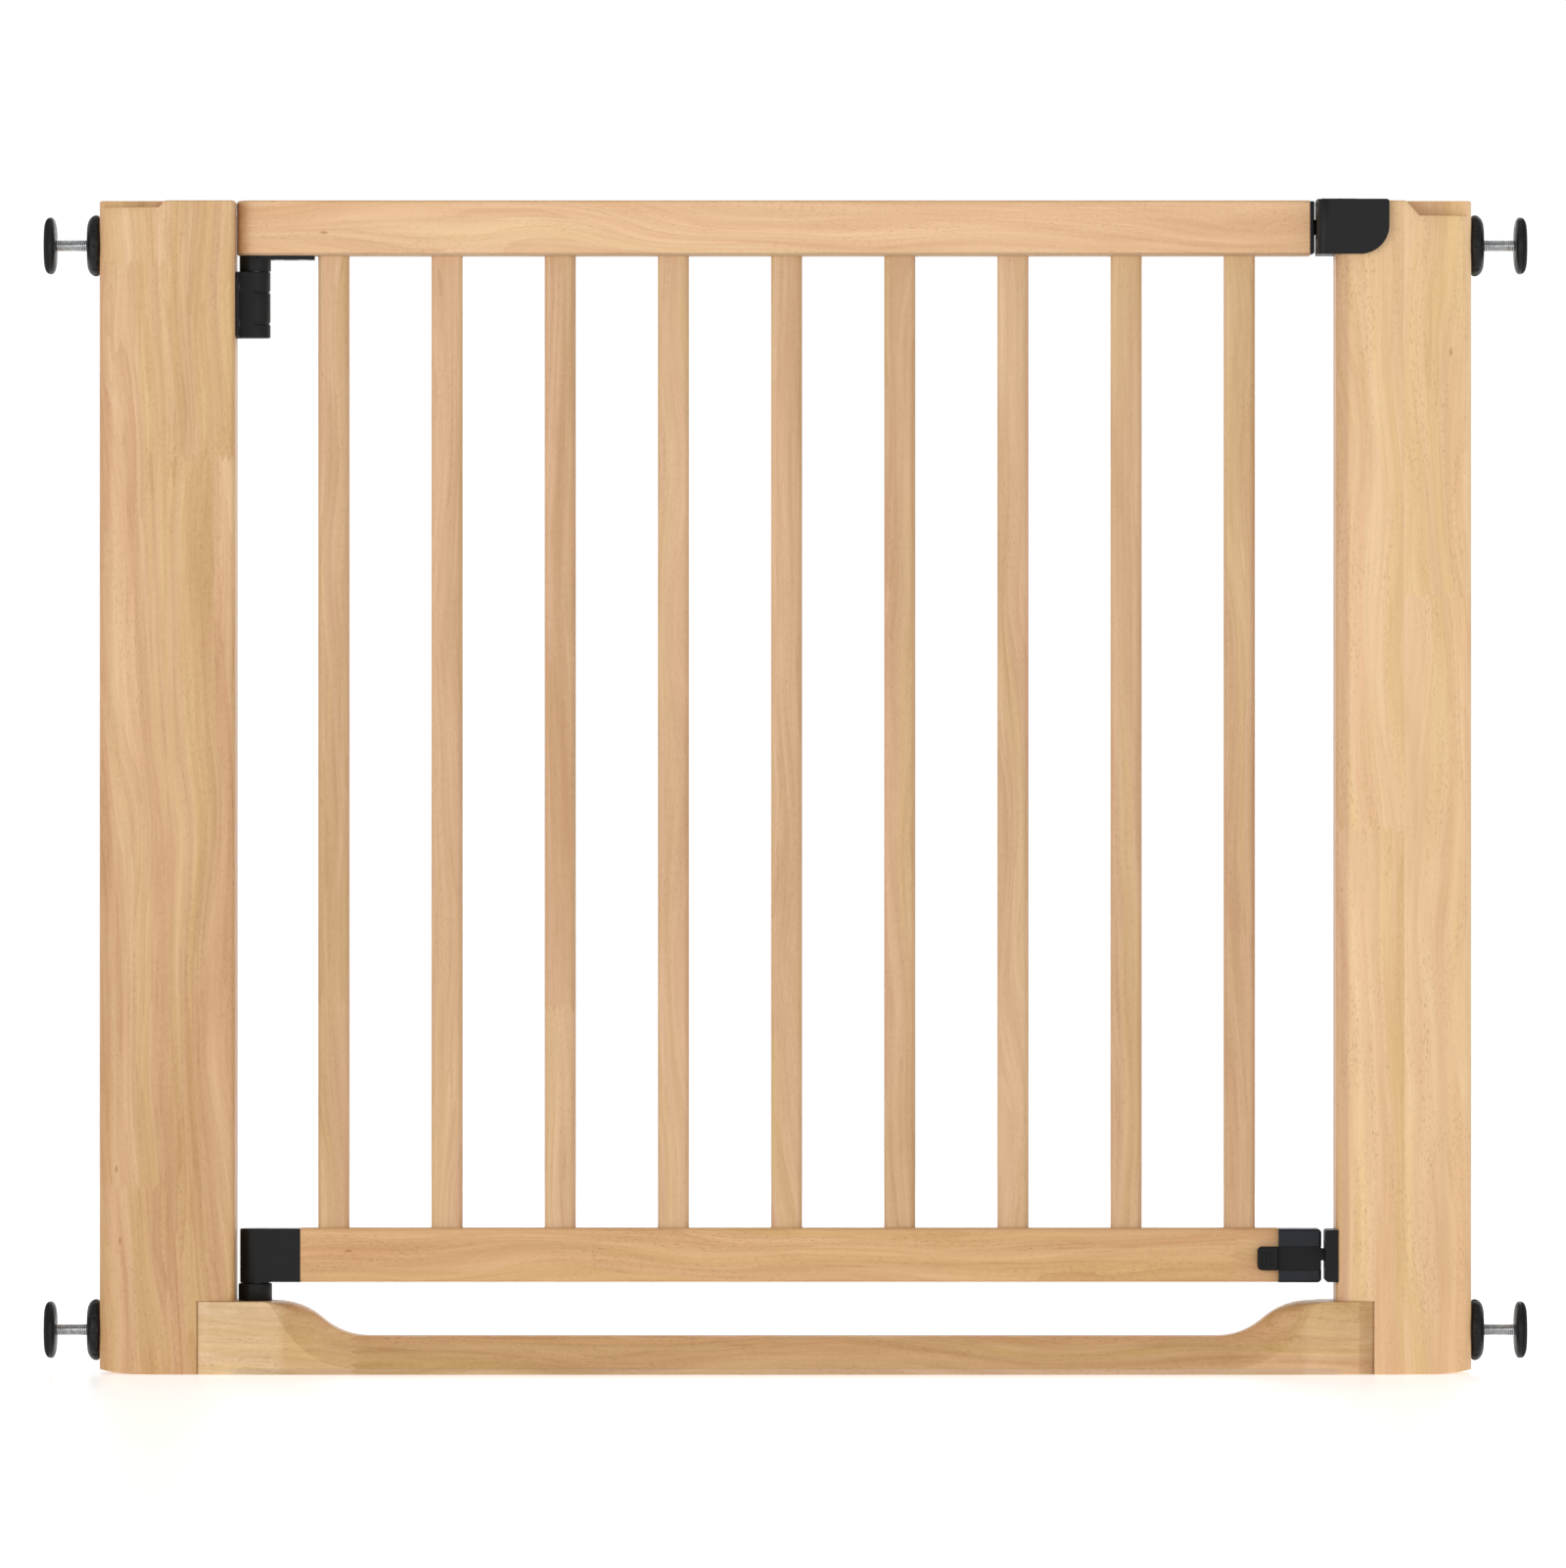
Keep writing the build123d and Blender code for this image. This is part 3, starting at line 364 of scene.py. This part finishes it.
def thread_mesh(low, high, centre_y, centre_z, radius):
    """A rolled thread along X from low to high, tapered a little at both ends. Its ends have no caps."""
    around = 36
    lead_in = 1.2 * PITCH
    narrowing = 0.20
    steps = len(THREAD_PROFILE)
    turns = int((high - low) / PITCH)
    rings = []
    verts = []
    for number in range(-steps, (turns + 1) * steps + 1):
        ring = []
        for spoke in range(around):
            angle = 2 * math.pi * spoke / around
            x = low + PITCH * (number / steps + spoke / around)
            x = min(max(x, low), high)
            r = radius + THREAD_PROFILE[number % steps]
            taper = min(1.0, 0.55 + (x - low) / lead_in, 0.55 + (high - x) / lead_in)
            r = min(r, radius * (1 - narrowing + narrowing * taper))
            ring.append(len(verts))
            verts.append((x, centre_y + r * math.cos(angle), centre_z + r * math.sin(angle)))
        rings.append(ring)
    faces = []
    for number, (first, second) in enumerate(zip(rings, rings[1:])):
        for spoke in range(around - 1):
            faces.append((first[spoke], first[spoke + 1], second[spoke + 1], second[spoke]))
        if number + steps < len(rings) - 1:
            joined, beyond = rings[number + steps], rings[number + steps + 1]
            faces.append((first[-1], joined[0], beyond[0], second[-1]))
    return verts, faces


def threaded_spindle(clamp, material):
    """A threaded rod in place of the CAD's plain one."""
    low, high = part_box(f"{clamp}_spindle")
    centre = (low + high) / 2
    radius = (high.z - low.z) / 2
    verts, faces = thread_mesh(low.x, high.x, centre.y, centre.z, radius)
    mesh = bpy.data.meshes.new(f"{clamp}_thread")
    mesh.from_pydata(verts, [], faces)
    rod = bpy.data.objects.new(f"{clamp}_threaded_rod", mesh)
    bpy.context.scene.collection.objects.link(rod)
    mesh.materials.append(material)
    for face in mesh.polygons:
        face.use_smooth = True
    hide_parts(f"{clamp}_spindle")
    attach(rod, f"{clamp}_spindle")


# ---------------------------------------------------------------- latch spring

def shortening_spring(material):
    """The latch spring as a piece of its own with its own mesh, carried by the latch; in the real latch it
    shortens against the channel's end as the latch opens.
    """
    coil = bpy.data.objects.new("latch_coil_spring", NODES["latch_spring"].data.copy())
    bpy.context.scene.collection.objects.link(coil)
    coil.data.materials.clear()
    coil.data.materials.append(material)
    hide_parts("latch_spring")
    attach(coil, "latch")
    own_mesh(coil)


# ---------------------------------------------------------------- dressing the gate

def mirrored(side, near, far):
    """A span along X at the same distance from the middle on either side, -1 for left and 1 for right."""
    return tuple(sorted((side * near, side * far)))


def post_zones(side, recess_shade, relief_floor):
    """A post's darker places: painted shade on the back wall of the step in its top, and the seams round the
    threshold let into it.
    """
    return [
        # Painted shade on the back wall of the step cut into the post's top
        (recess_shade, 0.4, {"X": mirrored(side, 431, 480), "Y": (-15, -12.6), "Z": (relief_floor, 815)}),
        (SEAM, 0.4, {"X": mirrored(side, 407.3, 407.7), "Z": (-2, 50.6)}),
        (SEAM, 0.4, {"X": mirrored(side, 380, 407.7), "Z": (50.3, 50.6)}),
    ]


def step_zones():
    """The threshold's paler end blocks, its seams with the posts, and painted shade along the bottom of its
    front lip.
    """
    return [
        ((1.07, 1.18, 1.36), 6.0, {"X": (-409, -352), "Z": (-2, 60)}),
        ((1.08, 1.13, 1.22), 6.0, {"X": (362, 409), "Z": (-2, 60)}),
        ((0.88, 0.84, 0.80), 0.4, {"X": (397.3, 409), "Z": (-2, 60)}),
        # Painted shade along the bottom of the front lip
        ((0.86, 0.90, 1.00), 0.6, {"Y": (-32, -29.4), "Z": (-1, 4.0)}),
        (SEAM, 0.4, {"X": (-407.7, -406.7)}),
        (SEAM, 0.4, {"X": (406.7, 407.7)}),
    ]


def finish_wood():
    """Each wooden piece gets its own draw of beech."""
    # The first tint given to post_zones is the painted shade in the step at the post's top: faint on the left
    # post, deep on the right
    left_zones = post_zones(-1, (0.96, 0.94, 0.90), 808.4) + [
        # Painted shade down the left post's outer curved edge
        ((0.90, 0.84, 0.82), 5.0, {"X": (-480, -470)}),
        ((0.93, 0.90, 0.86), 300.0, {"Z": (-10, 320)}),
    ]
    right_zones = post_zones(1, (0.86, 0.80, 0.75), 802.6) + [
        # Painted shade on the right post's rounded inner edge
        ((0.84, 0.79, 0.81), 3.0, {"X": (375, 388.5)}),
        # Painted light on the right post's outer curved edge
        ((1.10, 1.13, 1.12), 9.0, {"X": (464, 480)}),
    ]
    # Painted shade along the top rail's lower rounded edge
    under_edge_shade = ((0.66, 0.68, 0.72), 0.8, {"Z": (773, 776.6)})
    left = beech("beech_left_post", "Z", (226, 190, 148), (194, 150, 106), seed=3.0,
                 strip=47.3, strip_start=-475.7, piece=640, slant=0.07, dashes=0.45,
                 knots=[(-463.5, 142, 1.0), (-461, 92, 0.9)], zones=left_zones)
    right = beech("beech_right_post", "Z", (240, 205, 162), (214, 172, 126), seed=11.0,
                  strip=47.3, strip_start=381.1, piece=610, slant=0.03, dashes=0.60,
                  contrast=0.9, knots=[(461, 708, 1.1)], zones=right_zones)
    top = beech("beech_top_rail", "X", (238, 202, 161), (213, 170, 126), seed=5.0,
                strip=60.0, strip_start=760.0, piece=900, slant=0.02, dashes=0.55,
                knots=[(791, -320, 1.1)], zones=[under_edge_shade])
    bottom = beech("beech_bottom_rail", "X", (221, 180, 133), (193, 147, 98), seed=8.0,
                   strip=60.0, strip_start=40.0, piece=900, slant=0.02, dashes=0.55,
                   contrast=1.1, knots=[(85, -303, 1.0)])
    bars = beech("beech_bars", "Z", (220, 184, 147), (192, 152, 112), seed=17.0,
                 strip=78.55, strip_start=-352.6, piece=1500, slant=0.02, dashes=0.35)
    step = beech("beech_threshold", "X", (225, 187, 144), (190, 148, 100), seed=23.0,
                 strip=60.0, strip_start=-4.0, piece=1200, slant=0.03, dashes=0.5,
                 zones=step_zones(), ramps=(1.02, 1.00, 0.94))
    dress(["left_post"], left, 0.0006)
    dress(["right_post"], right, 0.0006)
    dress(["top_rail"], top, 0.0005)
    dress(["bottom_rail"], bottom, 0.0005)
    dress(["threshold_bar"], step, 0.0008)
    dress([f"bar_{number}" for number in range(1, 10)], bars)


def finish_fittings():
    """Black plastic, rubber, nylon and steel."""
    edge = 0.0004
    rim = 0.0003
    housing = moulded("plastic_fittings", srgb(17, 17, 17), 0.46, 0.55, 0.00006)
    wheel = moulded("plastic_wheels", srgb(20, 20, 20), 0.40, 0.50, 0.00005)
    blue_black = moulded("plastic_bolt_case", srgb(24, 26, 34), 0.42, 0.50, 0.00005)
    deep_black = moulded("plastic_bolt", srgb(8, 8, 10), 0.50, 0.50, 0.00005)
    dress(["upper_hinge_barrel", "upper_hinge_plate", "lower_hinge_block", "lower_pivot_boss"], housing,
          edge)
    dress(["latch_housing", "latch_back_plate", "latch_slider", "latch_bolt", "rail_end_plate"], housing,
          edge)
    dress(["bolt_housing"], blue_black, edge)
    dress(["slide_bolt", "strike_plate"], deep_black, edge)
    dress([f"{clamp}_wheel" for clamp in CLAMPS], wheel, rim)
    dress([f"{clamp}_pad_shell" for clamp in CLAMPS], wheel)
    dress([f"{clamp}_pad_rubber" for clamp in CLAMPS], rubber("rubber_pads"))
    dress(["upper_hinge_bush", "lower_hinge_bush", "spindle_sleeves"], nylon("nylon_bushes"))
    zinc = metal("zinc_screws", (205, 206, 204), (168, 170, 170), 0.30, (0.5, 0.5, 0.5))
    screws = [name for name in NODES if name.endswith("_screws") or name.endswith("_pin")]
    dress(screws, zinc)
    shortening_spring(zinc)
    rolled = metal("rolled_thread", (212, 213, 214), (176, 178, 181), 0.24, (0.25, 3.0, 3.0))
    for clamp in CLAMPS:
        threaded_spindle(clamp, rolled)


# ---------------------------------------------------------------- studio

def make_floor():
    """A wide pale floor at the gate's feet."""
    size = 40.0
    level = -0.0002                # just below the feet, so that the two faces don't flicker
    corners = [(-size, -size, level), (size, -size, level), (size, size, level), (-size, size, level)]
    mesh = bpy.data.meshes.new("floor")
    mesh.from_pydata(corners, [], [(0, 1, 2, 3)])
    floor = bpy.data.objects.new("floor", mesh)
    bpy.context.scene.collection.objects.link(floor)
    mesh.materials.append(floor_finish())


def make_world():
    """Soft white surroundings, brightest at the horizon."""
    world = bpy.data.worlds.new("studio")
    world.use_nodes = True
    bpy.context.scene.world = world
    tree = world.node_tree
    tree.nodes.clear()
    place = tree.nodes.new("ShaderNodeTexCoord")
    split = tree.nodes.new("ShaderNodeSeparateXYZ")
    level = tree.nodes.new("ShaderNodeMath")
    level.operation = "ABSOLUTE"
    fade = tree.nodes.new("ShaderNodeMapRange")
    fade_from, fade_to = 0.14, 0.50
    horizon, overhead = 1.05, 0.42
    for socket, value in enumerate((fade_from, fade_to, horizon, overhead), 1):
        fade.inputs[socket].default_value = value
    background = tree.nodes.new("ShaderNodeBackground")
    background.inputs["Color"].default_value = (1.0, 1.0, 1.0, 1.0)
    output = tree.nodes.new("ShaderNodeOutputWorld")
    tree.links.new(place.outputs["Generated"], split.inputs[0])
    tree.links.new(split.outputs["Z"], level.inputs[0])
    tree.links.new(level.outputs[0], fade.inputs[0])
    tree.links.new(fade.outputs[0], background.inputs["Strength"])
    tree.links.new(background.outputs[0], output.inputs[0])


def softbox(name, place, aim, size, watts):
    """A rectangular area light that doesn't show itself to the camera."""
    light = bpy.data.lights.new(name, "AREA")
    light.shape = "RECTANGLE"
    light.size, light.size_y = size
    light.energy = watts
    lamp = bpy.data.objects.new(name, light)
    lamp.location = place
    lamp.rotation_euler = (Vector(aim) - Vector(place)).to_track_quat("-Z", "Y").to_euler()
    lamp.visible_camera = False
    bpy.context.scene.collection.objects.link(lamp)


def make_lights():
    """Broad soft light from both sides of the front, a little from above, and a weaker one behind."""
    middle = (0, 0, 0.4)
    softbox("front_left", (-3.4, -3.4, 0.9), middle, (2.6, 1.8), 44)
    softbox("front_right", (1.6, -5.2, 0.8), middle, (2.4, 1.6), 22)
    softbox("back_light", (0.6, 3.8, 2.0), middle, (2.4, 2.0), 30)
    softbox("top_light", (0, -0.4, 3.6), middle, (3.0, 2.0), 10)


def make_camera():
    """A long lens straight on to the gate, at half its height."""
    distance = 9.0
    field = 1.0871                 # what the frame's longer side takes in at the door
    door_plane = -0.011
    centre_x, eye_height = -0.0017, 0.4087
    sensor = 36.0
    camera = bpy.data.cameras.new("camera")
    camera.sensor_width = sensor
    camera.lens = sensor * distance / field
    camera.clip_start = 0.1
    camera.clip_end = 200.0
    eye = bpy.data.objects.new("camera", camera)
    eye.location = (centre_x, door_plane - distance, eye_height)
    eye.rotation_euler = (math.radians(90), 0, 0)
    bpy.context.scene.collection.objects.link(eye)
    bpy.context.scene.camera = eye


finish_wood()
finish_fittings()
make_floor()
make_world()
make_lights()
make_camera()
bpy.context.scene.view_settings.view_transform = "Standard"
